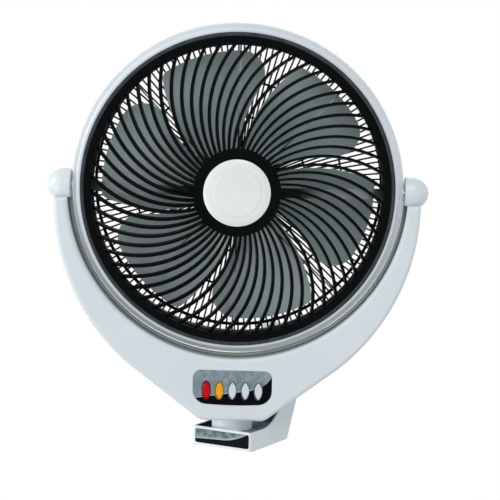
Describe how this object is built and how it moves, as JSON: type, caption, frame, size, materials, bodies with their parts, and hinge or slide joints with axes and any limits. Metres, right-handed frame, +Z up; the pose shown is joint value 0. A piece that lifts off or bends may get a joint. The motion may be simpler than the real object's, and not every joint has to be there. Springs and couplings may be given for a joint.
{
  "type": "wall fan",
  "caption": "Wall-mounted round fan whose shrouded head tilts in a crescent yoke that swings on a wall bracket, with swirl grille, bladed rotor and push buttons.",
  "frame": {"origin": "centre of the four screw holes in the wall plate, on the wall's surface", "axes": "+Z up, +Y into the wall, the fan looks towards -Y; at rest the yoke is turned 28 degrees towards +X and the head looks 3 degrees down"},
  "size_m": [0.4957, 0.3669, 0.6219],
  "materials": {
    "pale_plastic": "satin moulding",
    "black_plastic": "gloss black",
    "grey_plastic": "dark grey, half gloss",
    "blade_plastic": "smoky grey",
    "cap_plastic": "white gloss",
    "panel_plastic": "printed silver and black film under clear gloss",
    "badge_plastic": "silver and black, bare",
    "button_red": "red gloss",
    "button_yellow": "amber gloss",
    "button_white": "white gloss",
    "dark_tray": "dark moulding",
    "nylon": "natural nylon",
    "steel": "bright steel",
    "motor_metal": "drawn can",
    "plate_metal": "zinc grey",
    "board": "green laminate"
  },
  "bodies": {
    "bracket": {"wall_plate": "plate_metal", "bracket_shell": "pale_plastic", "bracket_floor": "pale_plastic", "tray_liner": "dark_tray", "badge_plate": "badge_plastic", "swing_bearing": "nylon", "swing_motor": "motor_metal"},
    "pinion": {"swing_pinion": "nylon"},
    "yoke": {"stem": "pale_plastic", "swing_gear": "nylon", "yoke_front_shell": "pale_plastic", "yoke_rear_shell": "pale_plastic", "control_panel": "panel_plastic", "circuit_board": "board", "key_switches": "dark_tray", "pivot_caps": "pale_plastic", "pivot_pins": "steel"},
    "head": {"shroud": "pale_plastic", "bezel_ring": "black_plastic", "front_grille": "black_plastic", "grille_spider": "grey_plastic", "hub_cap": "cap_plastic", "rear_grille": "black_plastic", "motor_case": "motor_metal", "motor_cover": "grey_plastic"},
    "rotor": {"impeller": "blade_plastic", "motor_shaft": "steel", "blade_nut": "grey_plastic"},
    "button_off": {"button_off": "button_red"},
    "button_swing": {"button_swing": "button_yellow"},
    "button_high": {"button_high": "button_white"},
    "button_mid": {"button_mid": "button_white"},
    "button_low": {"button_low": "button_white"}
  },
  "joints": [
    {"name": "swing", "type": "hinge", "parent": "bracket", "child": "yoke", "pos_m": [0, -0.215, -0.098], "axis": [0, 0, 1], "range_deg": [-68, 12]},
    {"name": "tilt", "type": "hinge", "parent": "yoke", "child": "head", "pos_m": [0.00376, -0.22206, 0.262], "axis": [0.8829, 0.4695, 0], "range_deg": [-23, 17]},
    {"name": "fan_spin", "type": "hinge", "parent": "head", "child": "rotor", "pos_m": [0.00376, -0.22206, 0.262], "axis": [0.4688, -0.8817, -0.0523], "continuous": true},
    {"name": "swing_pinion_spin", "type": "hinge", "parent": "bracket", "child": "pinion", "pos_m": [0, -0.171, -0.098], "axis": [0, 0, 1], "range_deg": [-40, 190]},
    {"name": "button_off_press", "type": "slide", "parent": "yoke", "child": "button_off", "axis": [-0.4695, 0.8829, 0], "range_m": [0, 0.0015], "stiffness_N_per_m": 400},
    {"name": "button_swing_press", "type": "slide", "parent": "yoke", "child": "button_swing", "axis": [-0.4695, 0.8829, 0], "range_m": [0, 0.0015], "stiffness_N_per_m": 400},
    {"name": "button_high_press", "type": "slide", "parent": "yoke", "child": "button_high", "axis": [-0.4695, 0.8829, 0], "range_m": [0, 0.0015], "stiffness_N_per_m": 400},
    {"name": "button_mid_press", "type": "slide", "parent": "yoke", "child": "button_mid", "axis": [-0.4695, 0.8829, 0], "range_m": [0, 0.0015], "stiffness_N_per_m": 400},
    {"name": "button_low_press", "type": "slide", "parent": "yoke", "child": "button_low", "axis": [-0.4695, 0.8829, 0], "range_m": [0, 0.0015], "stiffness_N_per_m": 400}
  ],
  "couplings": [
    {"joint": "swing_pinion_spin", "follows": "swing", "ratio": -2.6667}
  ]
}
